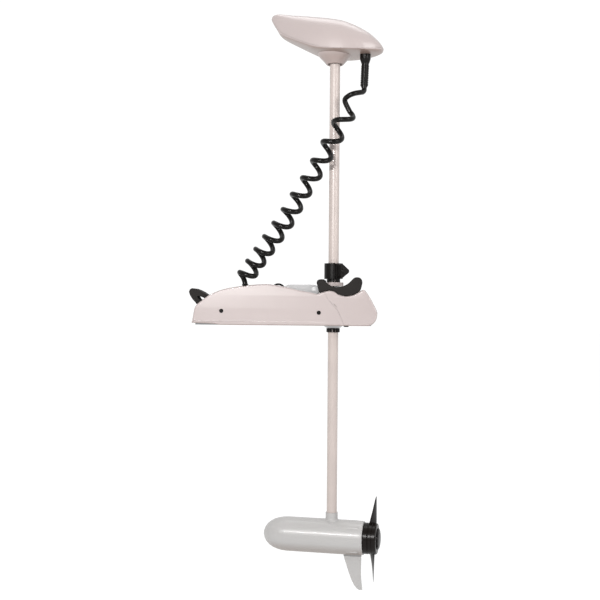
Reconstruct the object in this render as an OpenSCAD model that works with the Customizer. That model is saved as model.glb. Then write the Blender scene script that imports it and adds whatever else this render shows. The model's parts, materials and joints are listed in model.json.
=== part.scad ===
// Bow-mount electric trolling motor with control head, coil cord,
// stow cradle, power steering and brushed submersible motor.
// Frame: origin at the deck bolt pattern on the deck face, +X outboard,
// +Z up, -Y is the side with the coil cord. Units: mm.

/* [Shaft and heading] */
// Distance from the bolt pattern to the shaft axis
shaft_x = 200; // [180:1:220]
// Shaft tube outer radius
shaft_r = 13.5; // [12:0.5:16]
// Shaft tube bore radius
shaft_bore = 11.5; // [9:0.5:13]
// Heading of the motor and head relative to the mount
heading = -9; // [-30:1:30]
// Top of the shaft tube inside the head
shaft_top = 745; // [720:1:760]

/* [Mount] */
// Half width between the side walls of the channel
wall_in = 33; // [32:0.5:36]
// Outer half width of the channel walls
wall_out = 37; // [35:0.5:40]
// Outer half width over the side covers
cover_out = 54; // [50:0.5:60]
// Floor plate thickness
floor_t = 6; // [4:0.5:8]
// Deck bolt spacing along the mount
bolt_sx = 220; // [200:5:240]
// Deck bolt spacing across the mount
bolt_sy = 40; // [30:1:44]
// Deck bolt hole radius
bolt_r = 3.3; // [2.5:0.1:4.5]

/* [Tilt pivot and cradle] */
// Pivot distance inboard of the shaft
pivot_dx = 50; // [45:1:55]
// Pivot height over the deck
pivot_z = 95; // [90:1:100]
// Cradle centre outboard of the shaft
cradle_dx = 12.5; // [5:0.5:20]
// Cradle arc radius
cradle_r = 45.2; // [44.8:0.1:48]

/* [Lower unit] */
// Height of the motor axis
motor_z = -552; // [-560:1:-500]
// Motor housing radius
motor_r = 44.5; // [42:0.5:48]
// Motor axis, nose cone joint
nose_joint = -119; // [-125:1:-100]
// Motor axis, end bell joint
bell_joint = 20; // [10:1:30]
// Motor axis, rear face of the end bell
bell_end = 86; // [80:1:90]
// Propeller radius
prop_r = 108; // [100:1:125]

/* [Steering gears] */
// Gear module
gear_m = 1.5; // [1.25:0.25:2]
// Output gear teeth
gear_n = 28; // [20:1:36]
// Pinion teeth
pinion_n = 14; // [12:1:18]

/* [Hidden] */
$fn = 64;
fit = 0.06;
white = [0.86, 0.82, 0.81];
cool = [0.80, 0.82, 0.83];
black = [0.09, 0.08, 0.08];
dark = [0.2, 0.19, 0.18];
steel = [0.7, 0.7, 0.72];
alu = [0.75, 0.76, 0.78];
copper = [0.72, 0.45, 0.3];
sx = shaft_x;
px = sx - pivot_dx;
gear_c = gear_m * (gear_n + pinion_n) / 2;
// socket depth of the shaft tube over the motor axis
socket = 41.5;
// cover screws and gearbox lid screws, from the shaft axis
cover_screw_at = [[-287.6, 36.4], [-35.2, 33.5]];
lid_screw_at = [[-28, 20], [-28, -20]];
// coil cord: radius, and its hole in the near cover
cord_r = 6;
cord_hole = [-227, -45.5];

// ---------- helpers ----------
function cat(l) = [for (a = l) for (b = a) b];
module loft(rings) {
  n = len(rings[0]);
  m = len(rings);
  polyhedron(cat(rings), concat(
    [for (i = [0:m - 2]) for (j = [0:n - 1])
      let (a = i * n + j, b = i * n + (j + 1) % n) [a, b + n, b]],
    [for (i = [0:m - 2]) for (j = [0:n - 1])
      let (a = i * n + j, b = i * n + (j + 1) % n) [a, a + n, b + n]],
    [[for (j = [0:n - 1]) j]],
    [[for (j = [n - 1:-1:0]) (m - 1) * n + j]]), convexity = 8);
}
module xz(y0, y1) {
  translate([0, y1, 0]) rotate([90, 0, 0]) linear_extrude(y1 - y0, convexity = 8) children();
}
module ycyl(x, z, r, y0, y1) { translate([x, y0, z]) rotate([-90, 0, 0]) cylinder(r = r, h = y1 - y0); }
module xcyl(r, x0, x1) { translate([x0, 0, 0]) rotate([0, 90, 0]) cylinder(r = r, h = x1 - x0); }
module zcyl(r, z0, z1) { translate([0, 0, z0]) cylinder(r = r, h = z1 - z0); }
module tube(ro, ri, z0, z1) { difference() { zcyl(ro, z0, z1); zcyl(ri, z0 - 1, z1 + 1); } }
module mirror_far() { children(); mirror([0, 1, 0]) children(); }
// frames: turned with the shaft, and along the motor axis
module turned() { translate([sx, 0, 0]) rotate([0, 0, heading]) children(); }
module motor_axis() { turned() translate([0, 0, motor_z]) children(); }

// ---------- mount ----------
cover_low = [[-366, 5], [-363, 18], [-358.5, 42], [-353, 51.5], [-340, 62.5],
  [-323, 75.3], [-304, 85], [-280, 93.5], [-260, 97.5], [-230, 102],
  [-200, 105], [-171, 106.5], [-154, 105], [-117, 98.5], [-84, 90.5],
  [-54, 85.2], [-40, 82]];
cover_front = [[-33, 84], [-19, 88.3], [-7, 90.5], [4, 88.3], [14, 81.5],
  [25.5, 77.3], [38, 76.6], [54, 80], [68, 87.7], [77, 93.5], [83, 92],
  [93.5, 77.3], [104, 58.4], [113.4, 39.2], [114.9, 30.5], [112, 15.6],
  [102.5, 4.5], [90.5, 0]];
seam = [[-26, 100], [-22, 86], [-13, 70], [-1, 56], [10, 44], [18, 30],
  [25, 14], [31, 0], [34, -10]];
module cover_outline() {
  translate([sx, 0]) polygon(concat(cover_low, cover_front, [[-290, 0], [-312, 3]]));
}
module behind_seam(d) {
  translate([sx, 0]) offset(delta = -d) polygon(concat([[-380, -10], [-380, 130], [-26, 130]], seam));
}
module front_of_seam(d) {
  translate([sx, 0]) offset(delta = -d) polygon(concat([[140, -10], [140, 130], [-26, 130]], seam));
}
module cover_half(side) {
  module half2d(in) {
    offset(delta = -in) intersection() {
      cover_outline();
      if (side == "rear") behind_seam(0.2); else front_of_seam(0.2);
    }
  }
  difference() {
    union() {
      xz(-cover_out + 4, -wall_out - 0.1) half2d(0);
      xz(-cover_out + 2, -cover_out + 4) half2d(0.8);
      xz(-cover_out + 0.7, -cover_out + 2) half2d(2);
      xz(-cover_out, -cover_out + 0.7) half2d(3.6);
    }
    xz(-cover_out + 4, -wall_out + 1) half2d(6);
    // recessed screw seats
    for (p = cover_screw_at)
      ycyl(sx + p[0], p[1], 5.6, -cover_out - 1, -cover_out + 3.2);
    for (p = cover_screw_at)
      ycyl(sx + p[0], p[1], 2.3, -cover_out - 1, -cover_out + 6);
    // tool slot at the seam
    translate([sx + 8, -cover_out - 1, 52]) rotate([0, 45, 0]) cube([10, 5, 2.2], center = true);
    // grommet hole
    translate([sx + cord_hole[0], cord_hole[1], 90]) cylinder(r = 7.9, h = 30);
  }
  // screw bosses that reach the wall
  bx = side == "rear" ? cover_screw_at[0][0] : 62;
  bz = side == "rear" ? cover_screw_at[0][1] : 34;
  difference() {
    union() {
      ycyl(sx + bx, bz, 8, -cover_out + 3.9, -wall_out - 0.1);
      if (side == "rear") ycyl(sx + cover_screw_at[1][0], cover_screw_at[1][1], 8, -cover_out + 3.9, -wall_out - 0.1);
    }
    ycyl(sx + bx, bz, 2.3, -cover_out - 1, -wall_out);
    if (side == "rear") ycyl(sx + cover_screw_at[1][0], cover_screw_at[1][1], 2.3, -cover_out - 1, -wall_out);
  }
}
module base_channel() color(alu) {
  difference() {
    union() {
      translate([-158, -wall_out, 0]) cube([313, 2 * wall_out, floor_t]);
      mirror_far() xz(wall_in, wall_out) polygon([[-158, 0], [299, 0], [308, 20],
        [302, 36], [288, 62], [270, 70], [238, 68], [196, 74], [150, 76],
        [60, 84], [-30, 92], [-80, 84], [-120, 60], [-158, 34]]);
      translate([-158, -wall_out, 0]) cube([6, 2 * wall_out, 34]);
    }
    for (x = [-1, 1]) for (y = [-1, 1])
      translate([x * bolt_sx / 2, y * bolt_sy / 2, -1]) cylinder(r = bolt_r, h = floor_t + 2);
    // screw threads in the walls
    mirror_far() for (p = cover_screw_at)
      ycyl(sx + p[0], p[1], 2.0, wall_in - 1, wall_out + 1);
    // pedal and latch pin seats
    ycyl(-128, 40, 3, -wall_out - 1, wall_out + 1);
    ycyl(-132, 22, 2.5, -wall_out - 1, wall_out + 1);
  }
}
module near_side_cover() color(white) cover_half("rear");
module far_side_cover() color(white) mirror([0, 1, 0]) cover_half("rear");
module near_front_cover() color(white) cover_half("front");
module far_front_cover() color(white) mirror([0, 1, 0]) cover_half("front");
pad_pts = concat([[-33.5, 84.3], [-39.8, 104], [-41.4, 111.5], [-38.8, 117], [-32.5, 119.5], [-22, 119.2]],
  [for (a = [-142:8:-38]) [cradle_dx + cradle_r * cos(a), 145.4 + cradle_r * sin(a)]],
  [[55.1, 123.7], [64, 125.3], [71, 123], [75.5, 115.8], [73.4, 102.4], [68.5, 88],
   [54, 80.3], [38, 76.9], [25.5, 77.6], [14, 81.8], [4, 88.6], [-7, 90.8], [-19, 88.6]]);
module cradle_pad() {
  xz(-cover_out + 2, -wall_out - 0.4) translate([sx, 0]) polygon(pad_pts);
  xz(-cover_out, -cover_out + 2) translate([sx, 0]) offset(delta = -1.4) polygon(pad_pts);
}
module near_cradle_pad() color(dark) cradle_pad();
module far_cradle_pad() color(dark) mirror([0, 1, 0]) cradle_pad();
module cover_screws() color(dark) mirror_far() for (p = cover_screw_at)
  difference() {
    union() {
      ycyl(sx + p[0], p[1], 5.2, -cover_out + 0.9, -cover_out + 3.2);
      ycyl(sx + p[0], p[1], 2.0, -cover_out + 3, -wall_in - 0.2);
    }
    ycyl(sx + p[0], p[1], 1.6, -cover_out, -cover_out + 2.2);
  }
module pedal_pin() color(steel) ycyl(-128, 40, 3, -wall_out, wall_out);
module latch_pin() color(steel) ycyl(-132, 22, 2.5, -wall_out, wall_out);
module cord_grommet() color(black) translate([sx + cord_hole[0], cord_hole[1], 0]) rotate_extrude()
  polygon([[6.9, 93], [7.7, 93], [7.7, 104], [8.4, 104], [8.4, 105.2], [7.6, 106.6], [6.9, 106.6]]);
module front_feet() color(black) mirror_far()
  translate([sx + 35, -45, -2.6]) linear_extrude(2.5) offset(r = 3) square([6, 6], center = true);

// ---------- pedal and latch ----------
module release_pedal() color(black) {
  difference() {
    union() {
      ycyl(-128, 40, 8, -26, 26);
      xz(-26, 26) difference() {
        polygon([[-134.5, 44], [-153.5, 49.3], [-160.4, 57.8], [-168, 66], [-174.5, 76],
          [-177.8, 85.4], [-175.2, 91.9], [-169.8, 95.1], [-162.2, 94.3], [-153, 91],
          [-142, 85.7], [-133.6, 80], [-124, 73], [-118, 66], [-118, 58], [-121, 44]]);
        polygon([[-156.3, 73.4], [-153, 68], [-147.4, 63.3], [-143.8, 59.7], [-137, 57],
          [-131, 61], [-131, 66], [-136.2, 69], [-145.6, 73], [-153, 75.2]]);
      }
    }
    ycyl(-128, 40, 3 + fit, -30, 30);
    translate([-152, -13, 14]) cube([44, 26, 37]);
  }
}
module lock_latch() color(steel) difference() {
  union() {
    ycyl(-132, 22, 6, -12, 12);
    xz(-12, 12) polygon([[-137, 24], [-132, 27.5], [-124, 25.5],
      [-116.5, 20], [-116.5, 12], [-119.5, 12], [-121.5, 16.5], [-128, 17.5]]);
  }
  ycyl(-132, 22, 2.5 + fit, -20, 20);
}

// ---------- carriage ----------
module carriage() color(cool) {
  difference() {
    union() {
      mirror_far() xz(27, 31.5) {
        polygon([[58, 8], [118, 8], [163, 88], [px + 11, pivot_z],
          [px + 5, pivot_z + 9.8], [px, pivot_z + 11], [84, pivot_z + 11], [70, 98], [58, 60]]);
        translate([px, pivot_z]) circle(11);
      }
      translate([60, -27.5, 10]) cube([46, 55, 46]);
      translate([66, -27.5, 56]) cube([16, 55, 30]);
    }
    ycyl(px, pivot_z, 5, -40, 40);
    // weight saving pocket
    translate([74, -20, 16]) cube([40, 40, 34]);
  }
}
module slide_pads() color(black) mirror_far() for (x = [62, 92]) for (z = [14, 44])
  translate([x, 31.5, z]) cube([18, 1.2, 12]);
module pivot_pin() color(steel) ycyl(px, pivot_z, 5, -31.3, 31.3);
module steering_lead() color(black) translate([52, 34.35, 91.2]) {
  rotate([90, 0, 0]) rotate_extrude(angle = 180, convexity = 4) translate([16.8, 0]) circle(2.7, $fn = 32);
  translate([-16.8, 0, -4.6]) cylinder(r = 2.7, h = 4.6, $fn = 32);
  translate([16.8, 0, -7.5]) cylinder(r = 2.7, h = 7.5, $fn = 32);
}

// ---------- gearbox ----------
module gearbox_outer() {
  zcyl(26, 0, 95.6);
  translate([-pivot_dx - 24, -26, 25]) cube([pivot_dx + 24, 52, 70.6]);
  translate([0, 0, -6]) cylinder(r1 = 18.6, r2 = 26, h = 6);
}
module gear_room() {
  zcyl(23.4, 71.5, 88);
  translate([-gear_c, 0, 0]) zcyl(13.2, 71.5, 88);
}
module gearbox_housing() color(cool) difference() {
  translate([sx, 0, 0]) gearbox_outer();
  translate([sx, 0, 0]) {
    zcyl(15.5 + fit, -10, 88);
    gear_room();
    translate([-gear_c, 0, 0]) zcyl(11.55, 26, 72);
    // stepped lid seat
    zcyl(23.8, 87.9, 100);
    translate([-gear_c, 0, 0]) zcyl(13.6, 87.9, 100);
    for (p = [[-28, 20], [-28, -20], [-64, 20], [-64, -20]])
      translate([p[0], p[1], 0]) zcyl(1.6, 84, 100);
  }
  ycyl(px, pivot_z, 5 + fit, -40, 40);
}
module gearbox_lid() color(cool) difference() {
  translate([sx, 0, 0]) union() {
    zcyl(26, 95.7, 101.8);
    translate([-pivot_dx + 7, -26, 95.7]) cube([pivot_dx - 7, 52, 6.1]);
    zcyl(23.7, 88, 95.8);
    translate([-gear_c, 0, 0]) zcyl(13.5, 88, 95.8);
  }
  translate([sx, 0, 0]) {
    zcyl(15.5 + fit, 80, 110);
    translate([-gear_c, 0, 0]) zcyl(3 + fit, 80, 92);
    for (p = lid_screw_at) translate([p[0], p[1], 0]) zcyl(1.7, 90, 110);
  }
  ycyl(px, pivot_z, 12.4, -40, 40);
}
module lid_screws() color(steel) translate([sx, 0, 0]) for (p = lid_screw_at)
  translate([p[0], p[1], 0]) { zcyl(1.6, 85, 101.8); zcyl(3, 101.8, 102.6); }
module steering_motor() color(dark) translate([sx - gear_c, 0, 0]) {
  zcyl(11.5, 26.5, 62);
  zcyl(5, 62, 64);
}

// ---------- gears ----------
function inva(a) = tan(a) * 180 / PI - a;
function half_at(r, rp, pa, n, bl) = let (rb = rp * cos(pa), rr = max(r, rb))
  90 / n - bl / 2 / rp * 180 / PI + inva(pa) - inva(acos(min(1, rb / rr)));
module gear2d(n, m, bl) {
  rp = n * m / 2;
  rs = [rp - 1.25 * m * 0.85, rp - 0.4 * m, rp, rp + 0.45 * m, rp + 0.8 * m];
  polygon([for (k = [0:n - 1]) each concat(
    [for (r = rs) let (a = k * 360 / n - half_at(r, rp, 25, n, bl)) [r * cos(a), r * sin(a)]],
    [for (i = [4:-1:0]) let (r = rs[i], a = k * 360 / n + half_at(r, rp, 25, n, bl)) [r * cos(a), r * sin(a)]])]);
}
module pinion() color(steel) translate([sx - gear_c, 0, 0]) {
  translate([0, 0, 74.5]) linear_extrude(11) gear2d(pinion_n, gear_m, 0.3);
  zcyl(3, 64.6, 91);
}
module output_gear() color(steel) translate([sx, 0, 0]) difference() {
  translate([0, 0, 74]) linear_extrude(12) rotate(180 / gear_n) gear2d(gear_n, gear_m, 0.3);
  zcyl(15.5, 70, 90);
}

// ---------- steering hub ----------
module steering_hub() color(white) translate([sx, 0, 0]) difference() {
  union() {
    zcyl(15.5, -17.5, 150);
    zcyl(26, 102.9, 112.6);
  }
  zcyl(shaft_r + fit, -20, 160);
}
module slotted_ring() color(black) translate([sx, 0, 0]) difference() {
  tube(17.5, 15.5, -17.5, -7.2);
  for (a = [0:30:330]) rotate(a - 6) translate([16.5, 0, -12]) cube([6, 1.9, 8.6], center = true);
}
module depth_collar() color(black) translate([sx, 0, 0]) difference() {
  union() {
    zcyl(24.2, 122, 162.4);
    zcyl(17.6, 112.6, 122);
    rotate(-40) {
      translate([0, 0, 142]) rotate([0, 90, 0]) cylinder(r = 12, h = 24.5);
    }
    rotate(-75) translate([21, 0, 142.2]) cube([11, 10, 34], center = true);
  }
  zcyl(15.5, 100, 150);
  zcyl(shaft_r + 0.4, 149, 170);
  rotate(-75) translate([24, 0, 142]) cube([22, 2, 60], center = true);
  rotate(-40) translate([0, 0, 142]) rotate([0, 90, 0]) cylinder(r = 4 + fit, h = 40);
}
// three-lobed knob: lobe directions, reach and radius
lobes = [90, 210, 330];
reach = 14.5;
lobe_r = 5.6;
module collar_knob() color(black) translate([sx, 0, 142]) rotate([0, 0, -40]) rotate([0, 90, 0]) {
  translate([0, 0, 26]) linear_extrude(11) {
    polygon([for (a = lobes) for (s = [-60, 60])
      [reach * cos(a) + lobe_r * cos(a + s), reach * sin(a) + lobe_r * sin(a + s)]]);
    for (a = lobes) translate([reach * cos(a), reach * sin(a)]) circle(lobe_r);
  }
  translate([0, 0, 16]) cylinder(r = 4, h = 10.5);
  translate([0, 0, 37]) cylinder(r1 = 8.5, r2 = 7, h = 2);
}

// ---------- shaft and head ----------
module shaft_tube() color(white) turned() tube(shaft_r, shaft_bore, motor_z + socket + 0.1, shaft_top);
head_top = [[-172, 816], [-165, 821.5], [-154, 823.5], [-138, 821.5], [-124, 819], [-112, 816.6], [-84, 813.2],
  [-63, 809.7], [-40, 806.2], [-14, 802], [20, 794.6], [54, 780.8], [90, 760], [114, 738.5], [127, 722]];
head_mid = [[-172, 812], [-155, 787], [-143, 771], [-120, 756.5], [-98, 745.5], [-71, 733], [-45, 722.5],
  [-25, 716.6], [5, 711.8], [26, 710], [53, 709], [75, 710], [95, 712], [110, 715], [127, 718]];
head_low = [[-172, 808], [-163, 791.5], [-155, 779.5], [-145, 763.5], [-130, 753.5], [-112, 744.5], [-79, 728.5],
  [-48, 714.5], [-25, 709.5], [-5, 707.5], [43, 705.5], [95, 705.5], [115, 708], [127, 713.5]];
head_w = [[-172, 5], [-165, 11], [-151, 20], [-133, 29], [-105, 41], [-71, 53], [-45, 60], [-23, 64],
  [5, 66.5], [26, 66], [54, 60.5], [75, 53], [95, 43], [110, 33], [121, 22], [127, 12]];
hst = [-172, -168, -161, -151, -138, -122, -105, -84, -62, -40, -18, 5, 26, 46, 66, 84, 99, 111, 120, 127];
function spow(v, p) = sign(v) * pow(abs(v), p);
function top_ring(x, o, dz) = let (w = lookup(x, head_w) - o, zc = lookup(x, head_mid) + 0.1, zt = lookup(x, head_top) - o)
  concat(dz > 0 ? [[x, w, zc - dz]] : [],
    [for (a = [0:12:180]) [x, w * spow(cos(a), 0.78), zc + (zt - zc) * spow(max(0, sin(a)), 0.82)]],
    dz > 0 ? [[x, -w, zc - dz]] : []);
function low_ring(x, o, dz) = let (w = lookup(x, head_w) - o, zc = lookup(x, head_mid) - 0.1, zb = lookup(x, head_low) + o)
  concat(dz > 0 ? [[x, -w, zc + dz]] : [],
    [for (a = [0:12:180]) [x, -w * spow(cos(a), 0.7), zc - (zc - zb) * spow(max(0, sin(a)), 0.7)]],
    dz > 0 ? [[x, w, zc + dz]] : []);
// screws under the head, and the height of its underside there
head_screw_at = [[-72, 0], [60, 30], [60, -30], [-30, 45], [-30, -45]];
function low_z(x, y) = let (c = pow(abs(y) / lookup(x, head_w), 1 / 0.7), zc = lookup(x, head_mid))
  zc - (zc - lookup(x, head_low)) * pow(sqrt(1 - c * c), 0.7);
// height of the roof over a place under it
function top_z(x, y) = let (c = pow(abs(y) / lookup(x, head_w), 1 / 0.78), zc = lookup(x, head_mid))
  zc + (lookup(x, head_top) - zc) * pow(sqrt(1 - c * c), 0.82);
module head_top_cover() color(white) turned() difference() {
  union() {
    difference() {
      loft([for (x = hst) top_ring(x, 0, 0)]);
      loft([for (x = [-150, -130, -105, -84, -62, -40, -18, 5, 26, 46, 66, 84, 99, 111, 117]) top_ring(x, 3, 4)]);
    }
    // screw posts, closed by the roof of the shell
    for (p = head_screw_at) translate([p[0], p[1], 0])
      zcyl(4, low_z(p[0], p[1]) + 5.8, top_z(p[0] + 4, abs(p[1]) + 4) - 0.8);
  }
  for (p = head_screw_at) translate([p[0], p[1], 0]) zcyl(1.52, 700, low_z(p[0], p[1]) + 14.2);
}
module head_bottom_cover() color(white) turned() difference() {
  union() {
    difference() {
      loft([for (x = hst) low_ring(x, 0, 0)]);
      loft([for (x = [-146, -130, -105, -84, -62, -40, -18, 5, 26, 46, 66, 84, 99, 111, 117]) low_ring(x, 3, 4)]);
    }
    translate([0, 0, 683]) cylinder(r1 = 22, r2 = 42, h = 26);
    zcyl(20, 700, 736);
    translate([80, 0, 0]) zcyl(15.5, 706, 716);
  }
  zcyl(shaft_r + 0.05, 690, 760);
  zcyl(18.5, 680, 690.5);
  for (p = head_screw_at) let (z = low_z(p[0], p[1])) translate([p[0], p[1], 0]) {
    zcyl(3.1, z - 5, z + 2);
    zcyl(1.6, z, z + 6);
  }
  translate([80, 0, 0]) zcyl(8, 700, 730);
  translate([80, 0, 0]) zcyl(14.05, 700, 712);
}
module control_board() color([0.1, 0.3, 0.15]) turned() difference() {
  union() {
    translate([-80, -34, 747]) cube([130, 68, 1.6]);
    translate([-66, -16, 748.5]) cube([30, 32, 7]);
    translate([20, -14, 748.5]) cube([22, 28, 10]);
  }
  zcyl(16, 740, 770);
  for (p = head_screw_at) translate([p[0], p[1], 0]) zcyl(4.8, 740, 770);
}
module head_screws() color(steel) turned() for (p = head_screw_at) let (z = low_z(p[0], p[1]))
  translate([p[0], p[1], 0]) { zcyl(3, z + 0.4, z + 2); zcyl(1.5, z + 1.9, z + 14); }
boot_bottom = 621;
boot_lean = 0.04;   // toward the coil, for each mm down
module cord_strain_relief() color(black) turned() translate([80, 0, 0]) difference() {
  union() {
    zcyl(14, 694, 712);
    translate([0, 0, 683]) cylinder(r1 = 10.5, r2 = 14, h = 11);
    multmatrix([[1, 0, boot_lean, -683 * boot_lean], [0, 1, 0, 0], [0, 0, 1, 0]]) {
      translate([0, 0, boot_bottom]) cylinder(r1 = 8.4, r2 = 9.6, h = 683.1 - boot_bottom);
      for (k = [0:8]) translate([0, 0, boot_bottom + 3.6 + 6 * k]) cylinder(r1 = 10, r2 = 10.6, h = 3.2);
    }
  }
  multmatrix([[1, 0, boot_lean, -683 * boot_lean], [0, 1, 0, 0], [0, 0, 1, 0]]) zcyl(6.6, boot_bottom - 1, 683.01);
  zcyl(6.6, 683, 713);
}
module motor_leads() color(black) turned() {
  for (s = [-1, 1]) translate([0, s * 3.6, 0]) zcyl(2.6, motor_z + 50, shaft_top - 4);
}

// ---------- coil cord ----------
// axis of the coil: height and distance outboard of the shaft, height and coil radius
coil_x = [[118, -230.6], [136, -218.2], [166, -198], [214, -164.2], [275, -121.4],
  [330, -89.6], [395, -50.4], [460, -13.8], [520, 19], [570, 45]];
coil_y = -46;
coil_r = [[136, 19], [250, 20.7], [380, 18.5], [520, 20], [570, 19]];
// how far each turn's near side hangs below its far side, as a share of the coil radius
coil_sag = [[126, 0.2], [160, 0.38], [480, 0.33], [560, 0]];
// turns up to a height: the pitch grows with the height as the coil is pulled out
pitch_0 = 19.14;
pitch_rate = 0.066;
turn_0_z = 516.4;
function height_at(turn) = ((pitch_0 + pitch_rate * turn_0_z) * exp(pitch_rate * turn) - pitch_0) / pitch_rate;
function unit(v) = v / max(1e-9, norm(v));
function coil_pt(turn) = let (z = height_at(turn), u = [0, -1, -lookup(z, coil_sag)],
  t = unit([lookup(z + 15, coil_x) - lookup(z - 15, coil_x), 0, 30]), v = cross(t, [0, -1, 0]), a = 360 * turn + 270)
  [lookup(z, coil_x), coil_y, z] + lookup(z, coil_r) * (cos(a) * u + sin(a) * v);
// the cord's ends, the lower one from its hole and the upper one to the head's boot
low_end = [[-227, -45.5, 92], [-227, -45.5, 104], [-229, -43.5, 114], [-234, -40.5, 125]];
top_end = [[27.1, -29.5, 582.9], [36, -41, 592], [50, -43.5, 597.8], [64, -33.5, 602.6], [73.2, -21, 606.8],
  [76.5, -13.2, 613], [76.6, -12.2, 621], [77, -12.2, 631], [77.4, -12.25, 641]];
first_turn = -10;
last_turn = 0.75;
per_turn = 12;
route = concat(low_end, [for (k = [0:(last_turn - first_turn) * per_turn]) coil_pt(first_turn + k / per_turn)], top_end);
function cord_pt(k) = let (n = len(route) - 1, i = max(0, min(n - 1, floor(k))), f = k - i,
  a = route[max(0, i - 1)], b = route[i], c = route[i + 1], d = route[min(n, i + 2)])
  0.5 * (2 * b + (c - a) * f + (2 * a - 5 * b + 4 * c - d) * f * f + (3 * b - a - 3 * c + d) * f * f * f);
module cord_tube(k0, k1, sides = 8) {
  n = round((k1 - k0) * 2);
  translate([sx, 0, 0]) loft([for (i = [0:n]) let (k = k0 + (k1 - k0) * i / n,
    d = unit(cord_pt(k + 0.1) - cord_pt(k - 0.1)), u = unit(cross(d, [0.4, 0.15, 0.9])), v = cross(d, u))
    [for (j = [0:sides - 1]) let (a = 360 * j / sides) cord_pt(k) + cord_r * 1.04 * (cos(a) * u + sin(a) * v)]]);
}
// the cord is cut where the moving bodies share it out
cuts = [0.05, 16, 76, 108, len(route) - 1.3];
module coil_section_1() color(black) cord_tube(cuts[0], cuts[1] - 0.03);
module coil_section_2() color(black) cord_tube(cuts[1] + 0.03, cuts[2] - 0.03);
module coil_section_3() color(black) cord_tube(cuts[2] + 0.03, cuts[3] - 0.03);
module coil_section_4() color(black) cord_tube(cuts[3] + 0.03, cuts[4]);

// ---------- lower unit ----------
// through bolts, on both sides of the motor axis
bolt_y = 36.2;
module bolt_holes(x0, x1) { for (s = [-1, 1]) translate([0, s * bolt_y, 0]) xcyl(1.86, x0, x1); }
module motor_body() color(cool) motor_axis() difference() {
  union() {
    xcyl(motor_r, nose_joint, bell_joint);
    zcyl(16, 0, 63);
    translate([0, 0, 36]) rotate_extrude() polygon([[0, 0], [24, 0], [24, 3], [20.4, 4.6],
      [18.2, 6.6], [16.8, 9], [16, 12.5], [0, 12.5]]);
  }
  xcyl(40.4, nose_joint + 6, bell_joint + 1);
  xcyl(38.5, nose_joint - 1, nose_joint + 8);
  zcyl(shaft_r + 0.03, socket, 70);
  zcyl(10, 30, 45);
  // the neck stops at the bell joint
  xcyl(motor_r + 0.1, bell_joint, bell_joint + 12);
}
module nose_cone() color(cool) motor_axis() difference() {
  union() {
    translate([nose_joint - 0.05, 0, 0]) rotate([0, -90, 0]) rotate_extrude() polygon([[0, 0], [44.4, 0],
      [43.6, 12], [41.2, 24], [37, 36], [31.5, 45.5], [25, 53], [17.5, 58.8], [9, 62.3], [0, 63.2]]);
    xcyl(38.4, nose_joint - 0.1, nose_joint + 5.8);
    for (a = [45:90:315]) rotate([a, 0, 0]) translate([nose_joint - 28, 0, 31]) rotate([0, 72, 0])
      cylinder(r1 = 3.2, r2 = 5.4, h = 24);
  }
  xcyl(13.05, nose_joint - 9, nose_joint + 7);
  xcyl(33, nose_joint - 1, nose_joint + 7);
  bolt_holes(nose_joint - 5, nose_joint + 7);
}
module end_bell() color(cool) motor_axis() difference() {
  union() {
    translate([bell_joint + 0.05, 0, 0]) rotate([0, 90, 0]) rotate_extrude()
      polygon([[0, 0], [44.4, 0], [44.4, 40], [43.9, 58], [43.2, 64.6], [42, 66], [0, 66]]);
    xcyl(40.3, bell_joint - 5, bell_joint + 0.1);
    for (a = [45:90:315]) rotate([a, 0, 0]) translate([44, 0, 42.4]) rotate([0, 90, 0]) cylinder(r1 = 3, r2 = 3.4, h = 30);
    // skeg
    rotate([90, 0, 0]) translate([0, 0, -2.6]) linear_extrude(5.2) polygon([[31, -40], [35, -56], [41, -74],
      [47, -92], [54, -110], [61, -123], [68, -131.5], [75, -134.8], [82.5, -134.5], [80.6, -122], [79, -104],
      [78.4, -86], [78.6, -68], [79.6, -40]]);
  }
  xcyl(36, bell_joint - 6, bell_joint + 14);
  xcyl(14.05, bell_joint + 13, bell_joint + 36);
  xcyl(12.05, bell_joint + 35, bell_joint + 60);
  xcyl(7, bell_joint + 59, bell_joint + 70);
  bolt_holes(bell_joint - 6, bell_joint + 14);
}
module field_magnets() color(dark) motor_axis() for (s = [0, 180]) rotate([s, 0, 0])
  rotate([0, 90, 0]) translate([0, 0, -86]) rotate([0, 0, -60]) rotate_extrude(angle = 120) translate([31, 0]) square([9.3, 86]);
module front_bearing() color(steel) motor_axis() difference() {
  xcyl(13, nose_joint - 8.5, nose_joint + 2);
  xcyl(6 + fit, nose_joint - 10, nose_joint + 4);
}
module rear_bearing() color(steel) motor_axis() difference() {
  xcyl(14, bell_joint + 16, bell_joint + 30);
  xcyl(6 + fit, bell_joint + 10, bell_joint + 40);
}
module shaft_seal() color(black) motor_axis() difference() {
  xcyl(12, bell_joint + 44, bell_joint + 56);
  xcyl(6 + fit, bell_joint + 40, bell_joint + 60);
}
module through_bolts() color(steel) motor_axis() for (s = [-1, 1])
  translate([0, s * bolt_y, 0]) xcyl(1.8, nose_joint - 4.5, bell_joint + 13.5);
module brush_plate() color(copper) motor_axis() {
  difference() { xcyl(30, nose_joint + 10, nose_joint + 13); xcyl(19, nose_joint + 8, nose_joint + 14); }
  for (s = [0, 180]) rotate([s, 0, 0]) translate([nose_joint + 12.5, -4, 15.8]) cube([10, 8, 11]);
}
module cross_pin(r, h) {
  translate([bell_end + 8, 0, 0]) rotate([90, 0, 0]) translate([0, 0, -h / 2]) cylinder(r = r, h = h);
}
module armature() color(copper) motor_axis() difference() {
  union() {
    xcyl(6, nose_joint - 8, bell_end + 39);
    xcyl(15.4, nose_joint + 14, nose_joint + 26);
    xcyl(28, nose_joint + 34, -8);
  }
  cross_pin(2.13, 30);
}
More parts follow.
